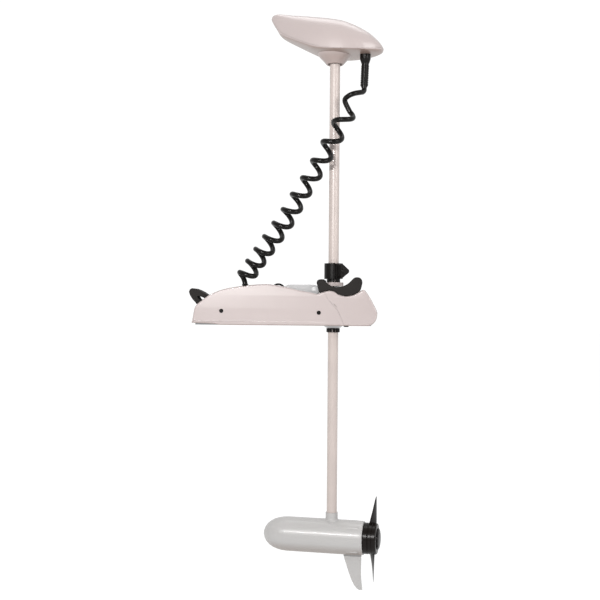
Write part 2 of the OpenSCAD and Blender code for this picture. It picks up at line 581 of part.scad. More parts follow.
// one blade: radius, chord, pitch angle, thickness and trailing edge at each station
bl_r = [36, 46, 58, 70, 82, 93, 101, 106, prop_r];
bl_c = [31, 30, 27, 23, 18.5, 13.5, 9, 5, 2];
bl_p = [34, 29, 25, 21.5, 19, 17, 16, 15, 15];
bl_t = [5.4, 4.9, 4.2, 3.6, 3, 2.4, 1.8, 1.2, 0.9];
bl_e = [8, 8, 7, 6, 4.5, 3, 2, 1, 0.5];
trailing_x = 116.5;
sec = [[-0.5, 0], [-0.42, 0.34], [-0.2, 0.5], [0.1, 0.46], [0.35, 0.26], [0.5, 0.04],
  [0.5, -0.04], [0.35, -0.1], [0.1, -0.2], [-0.2, -0.28], [-0.42, -0.24]];
module blade() {
  loft([for (i = [0:len(bl_r) - 1]) [for (q = sec) let (
    r = bl_r[i], u = (q[0] - 0.5) * bl_c[i], v = q[1] * bl_t[i],
    ax = u * sin(bl_p[i]) + v * cos(bl_p[i]), tg = bl_e[i] + u * cos(bl_p[i]) - v * sin(bl_p[i]),
    th = tg / r * 180 / PI)
    [trailing_x - (r - 36) * 0.02 + ax, r * sin(th), r * cos(th)]]]);
}
module propeller() color(black) motor_axis() difference() {
  union() {
    difference() {
      translate([bell_end + 0.9, 0, 0]) rotate([0, 90, 0]) rotate_extrude() polygon([[0, 0], [39, 0],
        [40, 1.2], [40, 11], [38.8, 12], [38.8, 13.4], [40, 14.4], [40, 31], [38, 34], [35, 34.6], [0, 34.6]]);
      xcyl(35.5, bell_end, bell_end + 20);
    }
    xcyl(12, bell_end + 0.9, bell_end + 22);
    for (a = [12, 192]) rotate([-a, 0, 0]) blade();
  }
  xcyl(6, bell_end - 5, bell_end + 50);
  cross_pin(2.1, 30);
}
module drive_pin() color(steel) motor_axis() cross_pin(2.1, 23);
module prop_nut() color(black) motor_axis() difference() {
  translate([bell_end + 35.6, 0, 0]) rotate([0, 90, 0]) rotate_extrude()
    polygon([[0, 0], [27, 0], [27, 2.2], [24, 4.4], [17, 6], [0, 6.6]]);
  xcyl(6, bell_end + 20, bell_end + 39.1);
  // grip notches
  for (a = [0:60:300]) rotate([a, 0, 0]) translate([0, 0, 28.5]) xcyl(4, bell_end + 35, bell_end + 50);
}

base_channel();
near_side_cover();
far_side_cover();
near_front_cover();
far_front_cover();
near_cradle_pad();
far_cradle_pad();
cover_screws();
pedal_pin();
latch_pin();
cord_grommet();
front_feet();
coil_section_1();
coil_section_2();
coil_section_3();
coil_section_4();
release_pedal();
lock_latch();
carriage();
slide_pads();
pivot_pin();
steering_lead();
gearbox_housing();
gearbox_lid();
steering_motor();
lid_screws();
pinion();
steering_hub();
output_gear();
slotted_ring();
depth_collar();
collar_knob();
shaft_tube();
head_top_cover();
head_bottom_cover();
control_board();
head_screws();
cord_strain_relief();
motor_leads();
motor_body();
nose_cone();
end_bell();
field_magnets();
front_bearing();
rear_bearing();
shaft_seal();
through_bolts();
brush_plate();
armature();
propeller();
prop_nut();
drive_pin();
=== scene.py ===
# Looks of the trolling motor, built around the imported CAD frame.
import json
import math
import bpy
import bmesh
from mathutils import Vector, Matrix


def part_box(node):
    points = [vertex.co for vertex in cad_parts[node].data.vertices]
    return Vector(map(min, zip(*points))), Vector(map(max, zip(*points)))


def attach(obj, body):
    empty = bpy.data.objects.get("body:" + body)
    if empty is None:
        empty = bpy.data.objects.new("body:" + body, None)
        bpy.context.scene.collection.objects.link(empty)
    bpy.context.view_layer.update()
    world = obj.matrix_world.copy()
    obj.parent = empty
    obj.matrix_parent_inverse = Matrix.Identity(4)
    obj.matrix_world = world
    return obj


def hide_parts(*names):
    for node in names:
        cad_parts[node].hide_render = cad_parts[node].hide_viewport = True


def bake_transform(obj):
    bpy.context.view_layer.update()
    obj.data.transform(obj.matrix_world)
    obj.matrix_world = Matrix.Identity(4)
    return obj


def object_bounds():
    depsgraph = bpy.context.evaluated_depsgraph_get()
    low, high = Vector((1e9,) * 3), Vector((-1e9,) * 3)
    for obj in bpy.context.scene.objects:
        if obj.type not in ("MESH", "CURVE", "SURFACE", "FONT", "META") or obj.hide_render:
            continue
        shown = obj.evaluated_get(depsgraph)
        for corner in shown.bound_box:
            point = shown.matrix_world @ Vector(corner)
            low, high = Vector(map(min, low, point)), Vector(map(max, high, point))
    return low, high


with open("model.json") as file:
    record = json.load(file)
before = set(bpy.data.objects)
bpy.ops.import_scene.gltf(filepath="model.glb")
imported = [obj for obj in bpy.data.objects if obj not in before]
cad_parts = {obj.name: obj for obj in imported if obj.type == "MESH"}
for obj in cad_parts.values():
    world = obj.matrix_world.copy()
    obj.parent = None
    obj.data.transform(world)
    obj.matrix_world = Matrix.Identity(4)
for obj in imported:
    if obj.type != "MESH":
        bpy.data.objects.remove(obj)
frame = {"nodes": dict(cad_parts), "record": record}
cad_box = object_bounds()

NODES = frame["nodes"]
MM = 0.001

# ---------------------------------------------------------------- driving places
shaft_lo, shaft_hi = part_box("shaft_tube")
SHAFT_X = (shaft_lo.x + shaft_hi.x) / 2          # shaft axis
HEADING = math.radians(-9.0)                     # motor and head, turned at rest
MOTOR_Z = -552 * MM


def turned(point):
    """From the frame that turns with the shaft, origin on its axis, to the row frame."""
    x, y, z = point
    c, s = math.cos(HEADING), math.sin(HEADING)
    return Vector((SHAFT_X + x * c - y * s, x * s + y * c, z))


def motor(point):
    return turned((point[0], point[1], point[2] + MOTOR_Z))


# ---------------------------------------------------------------- camera
CAM_AZ = math.radians(4.0)
CAM_DIST = 2.555
CAM_HEIGHT = 0.053
CAM_SIDE = -0.0872                                # left of the shaft
CAM_ROLL = math.radians(0.43)
LENS_PER_SENSOR = 975 / 600
right = Vector((math.cos(CAM_AZ), math.sin(CAM_AZ), 0))
toward = Vector((math.sin(CAM_AZ), -math.cos(CAM_AZ), 0))
cam_data = bpy.data.cameras.new("camera")
cam_data.sensor_width = 36
cam_data.lens = 36 * LENS_PER_SENSOR
cam_data.shift_y = 5 / 600
camera = bpy.data.objects.new("camera", cam_data)
bpy.context.scene.collection.objects.link(camera)
aim = Vector((SHAFT_X, 0, CAM_HEIGHT)) + right * CAM_SIDE
camera.location = aim + toward * CAM_DIST
camera.rotation_euler = (Matrix.Rotation(CAM_ROLL, 3, toward)
                         @ (-toward).to_track_quat("-Z", "Y").to_matrix()).to_euler()
bpy.context.scene.camera = camera


# ---------------------------------------------------------------- materials
def set_in(node, name, value):
    node.inputs[name].default_value = value


def material(name, color, rough, metal=0.0, coat=0.0, bump=0.0, grain=300.0, mottle=0.0, ior=1.5,
             painted_under_shade=0.0):
    m = bpy.data.materials.new(name)
    m.use_nodes = True
    tree = m.node_tree
    shader = tree.nodes["Principled BSDF"]
    set_in(shader, "Base Color", (*color, 1))
    set_in(shader, "Roughness", rough)
    set_in(shader, "Metallic", metal)
    set_in(shader, "Coat Weight", coat)
    set_in(shader, "Coat Roughness", 0.08)
    set_in(shader, "IOR", ior)
    if bump or mottle:
        where = tree.nodes.new("ShaderNodeTexCoord")
        tex = tree.nodes.new("ShaderNodeTexNoise")
        set_in(tex, "Scale", grain)
        set_in(tex, "Detail", 4.0)
        tree.links.new(where.outputs["Object"], tex.inputs["Vector"])
    if bump:
        b = tree.nodes.new("ShaderNodeBump")
        set_in(b, "Strength", bump)
        set_in(b, "Distance", 0.0006)
        tree.links.new(tex.outputs["Fac"], b.inputs["Height"])
        tree.links.new(b.outputs["Normal"], shader.inputs["Normal"])
    if mottle:
        ramp = tree.nodes.new("ShaderNodeValToRGB")
        big = tree.nodes.new("ShaderNodeTexNoise")
        set_in(big, "Scale", grain * 0.06)
        set_in(big, "Detail", 3.0)
        tree.links.new(where.outputs["Object"], big.inputs["Vector"])
        tree.links.new(big.outputs["Fac"], ramp.inputs["Fac"])
        low = tuple(c * (1 - mottle) for c in color)
        ramp.color_ramp.elements[0].position = 0.35
        ramp.color_ramp.elements[0].color = (*low, 1)
        ramp.color_ramp.elements[1].position = 0.65
        ramp.color_ramp.elements[1].color = (*color, 1)
        tree.links.new(ramp.outputs["Color"], shader.inputs["Base Color"])
    # painted shade: faces that look down get a darker, browner base colour
    if painted_under_shade:
        paint_shade_under(tree, shader, painted_under_shade)
    return m


def paint_shade_under(tree, shader, strength):
    """Painted shade: darkens and browns the base colour of the faces that look down, because the white floor
    would light them too much.
    """
    geometry = tree.nodes.new("ShaderNodeNewGeometry")
    split = tree.nodes.new("ShaderNodeSeparateXYZ")
    painted_shade_amount = tree.nodes.new("ShaderNodeMapRange")
    painted_shade_tint = tree.nodes.new("ShaderNodeMix")
    painted_shade_tint.data_type = "RGBA"
    painted_shade_tint.blend_type = "MULTIPLY"
    # how much painted shade a face gets, from how far its normal looks down
    set_in(painted_shade_amount, "From Min", -0.3)
    set_in(painted_shade_amount, "From Max", -0.95)
    set_in(painted_shade_amount, "To Min", 0.0)
    set_in(painted_shade_amount, "To Max", strength)
    tree.links.new(geometry.outputs["Normal"], split.inputs["Vector"])
    tree.links.new(split.outputs["Z"], painted_shade_amount.inputs["Value"])
    tree.links.new(painted_shade_amount.outputs["Result"], painted_shade_tint.inputs[0])
    color_in = shader.inputs["Base Color"]
    if color_in.is_linked:
        tree.links.new(color_in.links[0].from_socket, painted_shade_tint.inputs[6])
    else:
        painted_shade_tint.inputs[6].default_value = tuple(color_in.default_value)
    # painted shade colour, multiplied into the base colour of faces that look down
    painted_shade_tint.inputs[7].default_value = (0.60, 0.50, 0.44, 1)
    tree.links.new(painted_shade_tint.outputs[2], color_in)


# the shells and the motor paint carry painted shade on the faces that look down
MAT = {
    "white_shell": material("white_shell", (0.405, 0.35, 0.342), 0.34, coat=0.3, bump=0.03, mottle=0.02,
                            painted_under_shade=1.0),
    "white_shaft": material("white_shaft", (0.46, 0.40, 0.375), 0.36, coat=0.2, bump=0.02, mottle=0.06,
                            grain=180),
    "cool_cast": material("cool_cast", (0.40, 0.40, 0.405), 0.38, coat=0.1, bump=0.05),
    "cool_paint": material("cool_paint", (0.395, 0.387, 0.382), 0.36, coat=0.1, bump=0.02, mottle=0.02,
                           painted_under_shade=0.9),
    "channel": material("channel", (0.42, 0.43, 0.44), 0.4, metal=0.9, bump=0.08),
    "steel": material("steel", (0.5, 0.5, 0.5), 0.3, metal=1.0, bump=0.05),
    "black_plastic": material("black_plastic", (0.004, 0.003, 0.0025), 0.34, bump=0.1, mottle=0.2, ior=1.27),
    "prop_plastic": material("prop_plastic", (0.005, 0.0033, 0.0025), 0.28, bump=0.06, grain=420, ior=1.27),
    "cord_black": material("cord_black", (0.003, 0.0024, 0.002), 0.28, bump=0.05, grain=500, ior=1.28),
    "pad_rubber": material("pad_rubber", (0.0125, 0.0105, 0.0095), 0.7, bump=0.22, grain=700, mottle=0.15,
                           ior=1.3),
    "board_green": material("board_green", (0.02, 0.12, 0.05), 0.5, bump=0.05),
    "copper": material("copper", (0.6, 0.3, 0.17), 0.35, metal=1.0, bump=0.05),
    "ferrite": material("ferrite", (0.05, 0.05, 0.05), 0.7, bump=0.2),
}
SLOT = {s["node"]: s["material_slot"] for s in frame["record"]["subparts"]}
for node_name, obj in NODES.items():
    obj.data.materials.clear()
    obj.data.materials.append(MAT[SLOT[node_name]])


# ---------------------------------------------------------------- mesh helpers
def smooth_angle(obj, degrees=35):
    """Smooth shading, with edges sharper than the angle kept."""
    mesh = obj.data
    bm = bmesh.new()
    bm.from_mesh(mesh)
    limit = math.radians(degrees)
    for e in bm.edges:
        e.smooth = not (len(e.link_faces) == 2 and e.calc_face_angle(0) > limit)
    for f in bm.faces:
        f.smooth = True
    bm.to_mesh(mesh)
    bm.free()


def piece(name, verts, faces, slot, body, replaces=(), angle=35):
    mesh = bpy.data.meshes.new(name)
    mesh.from_pydata([tuple(v) for v in verts], [], faces)
    obj = bpy.data.objects.new(name, mesh)
    bpy.context.scene.collection.objects.link(obj)
    return settle(obj, slot, body, replaces, angle)


def settle(obj, slot, body, replaces=(), angle=35):
    bm = bmesh.new()
    bm.from_mesh(obj.data)
    bmesh.ops.remove_doubles(bm, verts=bm.verts, dist=1e-7)
    bmesh.ops.recalc_face_normals(bm, faces=bm.faces)
    bm.to_mesh(obj.data)
    bm.free()
    obj.data.materials.clear()
    obj.data.materials.append(MAT[slot])
    smooth_angle(obj, angle)
    if body:
        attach(obj, body)
    if replaces:
        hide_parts(*replaces)
    return obj


def loft(rings, caps=True):
    """Verts and faces of a skin through closed rings of equal length."""
    n = len(rings[0])
    verts = [p for ring in rings for p in ring]
    faces = []
    for i in range(len(rings) - 1):
        for j in range(n):
            k = (j + 1) % n
            faces.append((i * n + j, i * n + k, (i + 1) * n + k, (i + 1) * n + j))
    if caps:
        faces.append(tuple(range(n)))
        faces.append(tuple(range((len(rings) - 1) * n, len(rings) * n)))
    return verts, faces


def join_parts(parts):
    verts, faces = [], []
    for v, f in parts:
        base = len(verts)
        verts += list(v)
        faces += [tuple(i + base for i in face) for face in f]
    return verts, faces


def lathe(profile, n, place):
    """Skin of revolution about +X: profile is (x, r), place maps a point to the row frame."""
    rings = []
    for x, r in profile:
        rings.append([place((x, max(r, 1e-5) * math.cos(2 * math.pi * k / n),
                             max(r, 1e-5) * math.sin(2 * math.pi * k / n))) for k in range(n)])
    return loft(rings)


def spline(points, t):
    """Point at t in 0..1 on a Catmull-Rom curve through the points."""
    n = len(points) - 1
    u = min(max(t, 0.0), 1.0) * n
    i = min(int(u), n - 1)
    f = u - i
    p = [points[max(0, i - 1)], points[i], points[i + 1], points[min(n, i + 2)]]
    return [0.5 * (2 * b + (c - a) * f + (2 * a - 5 * b + 4 * c - d) * f * f
                   + (3 * b - a - 3 * c + d) * f ** 3) for a, b, c, d in zip(*p)]


def interp(table, x):
    """Smooth value at x of a table of (x, value) pairs: monotone cubic between the pairs."""
    if x <= table[0][0]:
        return table[0][1]
    if x >= table[-1][0]:
        return table[-1][1]
    i = max(k for k in range(len(table) - 1) if table[k][0] <= x)
    (x0, y0), (x1, y1) = table[i], table[i + 1]

    def slope(k):
        if k <= 0 or k >= len(table) - 1:
            return None
        a = (table[k][1] - table[k - 1][1]) / (table[k][0] - table[k - 1][0])
        b = (table[k + 1][1] - table[k][1]) / (table[k + 1][0] - table[k][0])
        return 0.0 if a * b <= 0 else 2 * a * b / (a + b)

    h = x1 - x0
    d = (y1 - y0) / h
    m0 = slope(i) if slope(i) is not None else d
    m1 = slope(i + 1) if slope(i + 1) is not None else d
    t = (x - x0) / h
    return (y0 * (1 + 2 * t) * (1 - t) ** 2 + m0 * h * t * (1 - t) ** 2
            + y1 * t * t * (3 - 2 * t) + m1 * h * t * t * (t - 1))


def rounded(points, corners, step=4.0):
    """Outline through the points, curved except at the corner indices."""
    n = len(points)
    out = []
    for i in range(n):
        p0, p1, p2, p3 = (points[(i + k) % n] for k in (-1, 0, 1, 2))
        if i in corners:
            p0 = (2 * p1[0] - p2[0], 2 * p1[1] - p2[1])
        if (i + 1) % n in corners:
            p3 = (2 * p2[0] - p1[0], 2 * p2[1] - p1[1])
        length = math.dist(p1, p2)
        m = max(1, round(length / step))
        for k in range(m):
            f = k / m
            out.append(tuple(0.5 * (2 * b + (c - a) * f + (2 * a - 5 * b + 4 * c - d) * f * f
                                    + (3 * b - a - 3 * c + d) * f ** 3)
                             for a, b, c, d in zip(p0, p1, p2, p3)))
    return out


def plate(name, outlines, y0, y1, bevel, slot, body, replaces=(), angle=30, res=4):
    """A slab in the XZ plane with rounded rims. Outlines are in mm, the first is the outside."""
    data = bpy.data.curves.new(name, "CURVE")
    data.dimensions = "2D"
    data.fill_mode = "BOTH"
    for outline in outlines:
        s = data.splines.new("POLY")
        s.points.add(len(outline) - 1)
        for p, q in zip(s.points, outline):
            p.co = (q[0] * MM, q[1] * MM, 0, 1)
        s.use_cyclic_u = True
    data.bevel_depth = bevel * MM
    data.offset = -bevel * MM
    data.bevel_resolution = res
    data.extrude = ((y1 - y0) / 2 - bevel) * MM
    tmp = bpy.data.objects.new(name + "_curve", data)
    bpy.context.scene.collection.objects.link(tmp)
    dg = bpy.context.evaluated_depsgraph_get()
    mesh = bpy.data.meshes.new_from_object(tmp.evaluated_get(dg))
    bpy.data.objects.remove(tmp)
    mid = (y0 + y1) / 2 * MM
    mesh.transform(Matrix.Translation((SHAFT_X, mid, 0)) @ Matrix.Rotation(math.pi / 2, 4, "X"))
    obj = bpy.data.objects.new(name, mesh)
    bpy.context.scene.collection.objects.link(obj)
    return settle(obj, slot, body, replaces, angle)


# ---------------------------------------------------------------- coil cord
CORD_R = 6.7
# axis of the coil, from its lower end up: (height, distance outboard of the shaft) and (height, coil radius)
COIL_X = [(118, -230.6), (136, -218.2), (166, -198), (214, -164.2), (275, -121.4), (330, -89.6), (395, -50.4),
          (460, -13.8), (520, 19), (570, 45)]
COIL_Y = -46
COIL_R = [(136, 19), (250, 20.7), (380, 18.5), (520, 20), (570, 19)]
COIL_SAG = [(126, 0.2), (160, 0.38), (480, 0.33), (560, 0)]   # share of the radius the near side hangs by
PITCH_0, PITCH_RATE, TURN_0_Z = 19.14, 0.066, 516.4
FIRST_TURN, LAST_TURN, PER_TURN = -10, 0.75, 12
LOW_END = [(-227, -45.5, 92), (-227, -45.5, 104), (-229, -43.5, 114), (-234, -40.5, 125)]
TOP_END = [(27.1, -29.5, 582.9), (36, -41, 592), (50, -43.5, 597.8), (64, -33.5, 602.6), (73.2, -21, 606.8),
           (76.5, -13.2, 613), (76.6, -12.2, 621), (77, -12.2, 631), (77.4, -12.25, 641)]


def lookup(x, table):
    """Straight-line value at x of a table of (x, value) pairs, held at the ends."""
    if x <= table[0][0]:
        return table[0][1]
    for (x0, y0), (x1, y1) in zip(table, table[1:]):
        if x <= x1:
            return y0 + (y1 - y0) * (x - x0) / (x1 - x0)
    return table[-1][1]


def coil_point(turn):
    """The pitch grows with the height, as the coil is pulled out."""
    z = ((PITCH_0 + PITCH_RATE * TURN_0_Z) * math.exp(PITCH_RATE * turn) - PITCH_0) / PITCH_RATE
    t = Vector((lookup(z + 15, COIL_X) - lookup(z - 15, COIL_X), 0, 30)).normalized()
    u = Vector((0, -1, -lookup(z, COIL_SAG)))
    v = t.cross(Vector((0, -1, 0)))
    a = math.radians(360 * turn + 270)
    return Vector((lookup(z, COIL_X), COIL_Y, z)) + (u * math.cos(a) + v * math.sin(a)) * lookup(z, COIL_R)


COIL_COUNT = round((LAST_TURN - FIRST_TURN) * PER_TURN)
ROUTE = LOW_END + [tuple(coil_point(FIRST_TURN + k / PER_TURN)) for k in range(COIL_COUNT + 1)] + TOP_END
CUTS = [0.05, 16, 76, 108, len(ROUTE) - 1.3]      # where the moving bodies share the cord out


def cord_point(k):
    """Place on the cord at step k of the route."""
    x, y, z = spline(ROUTE, k / (len(ROUTE) - 1))
    return Vector((SHAFT_X + x * MM, y * MM, z * MM))


def tube(points, radius, sides=16):
    """Verts and faces of a round tube along the points, with a frame that doesn't twist."""
    n = len(points)
    tangents = [(points[min(n - 1, i + 1)] - points[max(0, i - 1)]).normalized() for i in range(n)]
    u = tangents[0].orthogonal().normalized()
    rings = []
    for p, t in zip(points, tangents):
        u = (u - t * u.dot(t)).normalized()
        v = t.cross(u)
        rings.append([p + (u * math.cos(2 * math.pi * k / sides)
                           + v * math.sin(2 * math.pi * k / sides)) * radius for k in range(sides)])
    return loft(rings)


def length_of(points):
    return sum((b - a).length for a, b in zip(points, points[1:]))


CORD_JOINTS = [("base", "carriage"), ("carriage", "gearbox"), ("gearbox", "hub"), ("hub", "shaft")]
cord_total = 0.0
for k, (body_a, body_b) in enumerate(CORD_JOINTS):
    steps = [130, 240, 140, 230][k]
    pts = [cord_point(CUTS[k] + (CUTS[k + 1] - CUTS[k]) * i / steps) for i in range(steps + 1)]
    verts, faces = tube(pts, CORD_R * MM)
    obj = piece(f"coil_cord_{k + 1}", verts, faces, "cord_black", None, [f"coil_section_{k + 1}"], angle=60)
    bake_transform(obj)
    cord_total += length_of(pts)
print("cord length", round(cord_total, 3))


# ---------------------------------------------------------------- control head
HEAD_TOP = [(-172, 816), (-165, 821.5), (-154, 823.5), (-138, 821.5), (-124, 819), (-112, 816.6),
            (-84, 813.2), (-63, 809.7), (-40, 806.2), (-14, 802), (20, 794.6), (54, 780.8), (90, 760),
            (114, 738.5), (127, 722)]
HEAD_MID = [(-172, 812), (-155, 787), (-143, 771), (-120, 756.5), (-98, 745.5), (-71, 733), (-45, 722.5),
            (-25, 716.6), (5, 711.8), (26, 710), (53, 709), (75, 710), (95, 712), (110, 715), (127, 718)]
HEAD_LOW = [(-172, 808), (-163, 791.5), (-155, 779.5), (-145, 763.5), (-130, 753.5), (-112, 744.5),
            (-79, 728.5), (-48, 714.5), (-25, 709.5), (-5, 707.5), (43, 705.5), (95, 705.5), (115, 708),
            (127, 713.5)]
HEAD_W = [(-172, 5), (-165, 11), (-151, 20), (-133, 29), (-105, 41), (-71, 53), (-45, 60),
          (-23, 64), (5, 66.5), (26, 66), (54, 60.5), (75, 53), (95, 43), (110, 33), (121, 22), (127, 12)]


def signed_pow(v, p):
    return math.copysign(abs(v) ** p, v)


HEAD_BACK, HEAD_FRONT = -172, 127
RIM_GAP, RIM_ROLL = 0.25, 1.6
UPPER_POWER, LOWER_POWER = (0.78, 0.82), (0.7, 0.7)   # how square the section is, across and up


def head_stations(count=90):
    """Places along the head, closer together toward both tips."""
    for i in range(count + 1):
        yield HEAD_BACK + (HEAD_FRONT - HEAD_BACK) * (0.5 - 0.5 * math.cos(math.pi * i / count))


def head_shell(upper, turns=48):
    rings = []
    for x in head_stations():
        end = min(1.0, (x - HEAD_BACK) / 3.0 + 0.25, (HEAD_FRONT - x) / 4.0 + 0.25)
        w = interp(HEAD_W, x) * math.sqrt(end)
        mid = interp(HEAD_MID, x)
        far = interp(HEAD_TOP if upper else HEAD_LOW, x)
        far = mid + (far - mid) * math.sqrt(end)
        gap = RIM_GAP if upper else -RIM_GAP
        power = UPPER_POWER if upper else LOWER_POWER
        ring = []
        for k in range(turns + 1):
            a = math.pi * k / turns
            y = w * signed_pow(math.cos(a), power[0])
            z = mid + gap + (far - mid - gap) * max(0, math.sin(a)) ** power[1]
            ring.append((x, y, z))
        # roll the rim in, so that the joint line reads as a fine groove
        inner = max(0.2, w - RIM_ROLL)
        ring += [(x, -inner, mid + gap * 0.2), (x, inner, mid + gap * 0.2)]
        rings.append([turned((p[0] * MM, p[1] * MM, p[2] * MM)) for p in ring])
    return loft(rings)


piece("head_upper_shell", *head_shell(True), "white_shell", "shaft", ["head_top_cover"], angle=50)
NECK = [(733, 13.56), (733, 20), (712, 46), (706.5, 43.5), (701, 38.6), (695, 32.8), (689.5, 27.6),
        (685.5, 24), (683.6, 22.5), (683, 21.6), (683.1, 20.4), (684, 18.8), (686, 18.5), (690.5, 18.5),
        (690.5, 13.56)]                            # height and radius, round the bore for the shaft


def neck():
    n = 64
    rings = [[turned((r * MM * math.cos(2 * math.pi * k / n), r * MM * math.sin(2 * math.pi * k / n), z * MM))
              for k in range(n)] for z, r in NECK]
    v, f = loft(rings + [rings[0]], caps=False)
    return v, f


low_v, low_f = head_shell(False)
piece("head_lower_shell", *join_parts([(low_v, low_f), neck()]), "white_shell", "shaft",
      ["head_bottom_cover"], angle=50)


# ---------------------------------------------------------------- mount covers
COVER_LOW = [(-366, 5), (-363, 18), (-358.5, 42), (-353, 51.5), (-340, 62.5), (-323, 75.3), (-304, 85),
             (-280, 93.5), (-260, 97.5), (-230, 102), (-200, 105), (-171, 106.5), (-154, 105), (-117, 98.5),
             (-84, 90.5), (-54, 85.2), (-40, 82)]
COVER_FRONT = [(-33, 84), (-19, 88.3), (-7, 90.5), (4, 88.3), (14, 81.5), (25.5, 77.3), (38, 76.6), (54, 80),
               (68, 87.7), (77, 93.5), (83, 92), (93.5, 77.3), (104, 58.4), (113.4, 39.2), (114.9, 30.5),
               (112, 15.6), (102.5, 4.5), (90.5, 0)]
COVER = COVER_LOW + COVER_FRONT + [(-290, 0), (-312, 3)]
COVER_CORNERS = {0, len(COVER_LOW), len(COVER_LOW) + 9, len(COVER_LOW) + 10, len(COVER) - 3, len(COVER) - 2,
                 len(COVER) - 1}
SEAM = [(-26, 130), (-26, 100), (-22, 86), (-13, 70), (-1, 56), (10, 44), (18, 30), (25, 14), (31, 0),
        (34, -10)]
COVER_SCREWS = [(-287.6, 36.4), (-35.2, 33.5)]
SEAM_HALF = 0.2
COVER_Y = (37.3, 54)                               # inner and outer face, from the middle plane
COVER_ROUND = 4.5
SEAT_R, SEAT_Y = 5.6, (50.8, 60)                   # screw seats and tool slot, cut in from outside
SLOT_AT, SLOT_HALF = (8, 52), (5, 1.1)
BEYOND_REAR, BEYOND_BOW, BELOW, ABOVE = -400, 150, -10, 130


def prism(outline, y0, y1):
    """A closed block over an outline in the XZ plane, in mm."""
    rings = [[Vector((SHAFT_X + x * MM, y * MM, z * MM)) for x, z in outline] for y in (y0, y1)]
    mesh = bpy.data.meshes.new("cutter")
    verts, faces = loft(rings)
    mesh.from_pydata([tuple(v) for v in verts], [], faces)
    obj = bpy.data.objects.new("cutter", mesh)
    bpy.context.scene.collection.objects.link(obj)
    bm = bmesh.new()
    bm.from_mesh(mesh)
    bmesh.ops.recalc_face_normals(bm, faces=bm.faces)
    bm.to_mesh(mesh)
    bm.free()
    return obj


def circle(cx, cz, r, n=40):
    angles = [2 * math.pi * k / n for k in range(n)]
    return [(cx + r * math.cos(a), cz + r * math.sin(a)) for a in angles]


def cut(obj, cutter, operation="DIFFERENCE"):
    mod = obj.modifiers.new("cut", "BOOLEAN")
    mod.operation = operation
    mod.object = cutter
    mod.solver = "EXACT"
    dg = bpy.context.evaluated_depsgraph_get()
    mesh = bpy.data.meshes.new_from_object(obj.evaluated_get(dg))
    obj.modifiers.remove(mod)
    obj.data = mesh
    bpy.data.objects.remove(cutter)


def cover(side, sign, half, node):
    """One half of a side cover: flush with the other half at the seam, with screw seats and a tool slot."""
    ys = sorted(sign * y for y in COVER_Y)
    outline = rounded(COVER, COVER_CORNERS)
    obj = plate(f"{side}_{half}_cover", [outline], *ys, COVER_ROUND, "white_shell", None)
    shift = -SEAM_HALF if half == "rear" else SEAM_HALF
    end_x = BEYOND_REAR if half == "rear" else BEYOND_BOW
    zone = [(x + shift, z) for x, z in SEAM] + [(end_x, BELOW), (end_x, ABOVE)]
    cut(obj, prism(zone, -70, 70), "INTERSECT")
    seat = sorted(sign * y for y in SEAT_Y)
    if half == "rear":
        for x, z in COVER_SCREWS:
            cut(obj, prism(circle(x, z, SEAT_R), *seat))
    (cx, cz), (long, thin) = SLOT_AT, SLOT_HALF
    slot = [(cx + (a + b) * 0.707, cz - (a - b) * 0.707)
            for a, b in ((-long, -thin), (long, -thin), (long, thin), (-long, thin))]
    cut(obj, prism(slot, *seat))
    settle(obj, "white_shell", "base", [node], 30)


for side, sign in (("near", -1), ("far", 1)):
    cover(side, sign, "rear", f"{side}_side_cover")
    cover(side, sign, "bow", f"{side}_front_cover")

# ---------------------------------------------------------------- cradle pads
CRADLE_X, CRADLE_Z, CRADLE_R = 12.5, 145.4, 45.2
PAD = ([(-33.5, 84.6), (-39.8, 104), (-41.4, 111.5), (-38.8, 117), (-32.5, 119.5), (-22, 119.2)]
       + [(CRADLE_X + CRADLE_R * math.cos(math.radians(a)), CRADLE_Z + CRADLE_R * math.sin(math.radians(a)))
          for a in range(-138, -38, 8)]
       + [(55.1, 123.7), (64, 125.3), (71, 123), (75.5, 115.8), (73.4, 102.4), (68.5, 88.3),
          (54, 80.6), (38, 77.2), (25.5, 77.9), (14, 82.1), (4, 88.9), (-7, 91.1), (-19, 88.9)])
for side, sign in (("near", -1), ("far", 1)):
    ys = sorted((sign * 37.6, sign * 54))
    plate(f"{side}_motor_rest", [rounded(PAD, {0, len(PAD) - 8}, 2.5)], *ys, 2.8, "pad_rubber", "base",
          [f"{side}_cradle_pad"], res=5)

# ---------------------------------------------------------------- propeller
BELL_END, TRAILING_X, TIP_R = 86, 116.5, 108
BLADE = {                                          # radius to chord, pitch angle, thickness, trailing edge
    "chord": [(36, 31), (46, 30), (58, 27), (70, 23), (82, 18.5), (93, 13.5), (101, 9), (106, 5), (108, 1.5)],
    "pitch": [(36, 34), (46, 29), (58, 25), (70, 21.5), (82, 19), (93, 17), (101, 16), (108, 15)],
    "thick": [(36, 5.4), (46, 4.9), (58, 4.2), (70, 3.6), (82, 3), (93, 2.4), (101, 1.8), (108, 0.9)],
    "edge": [(36, 8), (46, 8), (58, 7), (70, 6), (82, 4.5), (93, 3), (101, 2), (108, 0.5)],
}
FOIL = [(-0.5, 0), (-0.42, 0.34), (-0.2, 0.5), (0.1, 0.46), (0.35, 0.26), (0.5, 0.04), (0.5, -0.04),
        (0.35, -0.1), (0.1, -0.2), (-0.2, -0.28), (-0.42, -0.24)]
HUB = [(0, 12), (0, 39), (1.2, 40), (11, 40), (12, 38.8), (13.4, 38.8), (14.4, 40), (22, 40), (22.7, 39.3),
       (23.4, 40), (31, 40), (34, 38), (34.6, 35), (34.6, 6.1)]


